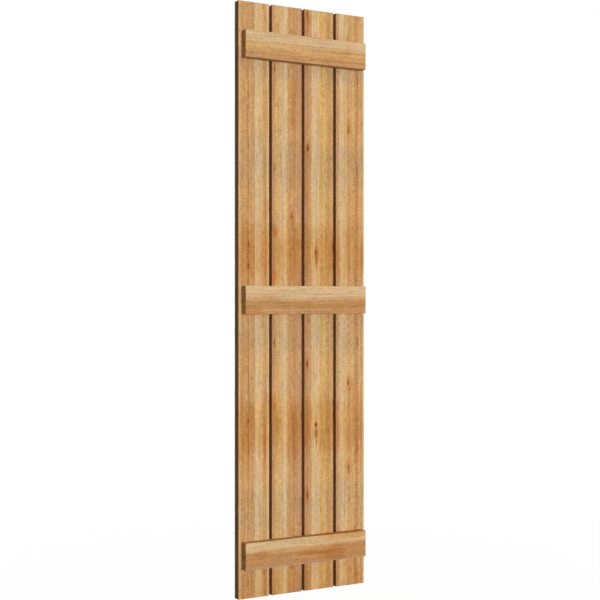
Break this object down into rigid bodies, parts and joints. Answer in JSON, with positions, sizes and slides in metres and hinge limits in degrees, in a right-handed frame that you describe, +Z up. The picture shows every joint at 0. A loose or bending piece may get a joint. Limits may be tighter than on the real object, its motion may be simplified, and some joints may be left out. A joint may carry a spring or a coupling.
{
  "type": "board and batten shutter",
  "caption": "Tall exterior wood shutter of spaced upright sawn boards held together by level battens across the front, with flat backs that lie on a wall beside a window.",
  "frame": {"origin": "on the wall plane, which is the plane of the boards' flat backs, at mid-height, in the middle of the back of the left inner board", "axes": "+X along the shutter to the right as seen from the front, +Y into the wall, out of the boards' backs, +Z up along the boards"},
  "size_m": [0.3792, 0.0444, 1.524],
  "materials": {
    "cedar_board": "matte",
    "cedar_batten": "matte",
    "fixing_screw": "satin"
  },
  "bodies": {
    "root": {"left_outer_board": "cedar_board", "left_inner_board": "cedar_board", "right_inner_board": "cedar_board", "right_outer_board": "cedar_board", "top_batten": "cedar_batten", "middle_batten": "cedar_batten", "bottom_batten": "cedar_batten"}
  },
  "joints": []
}
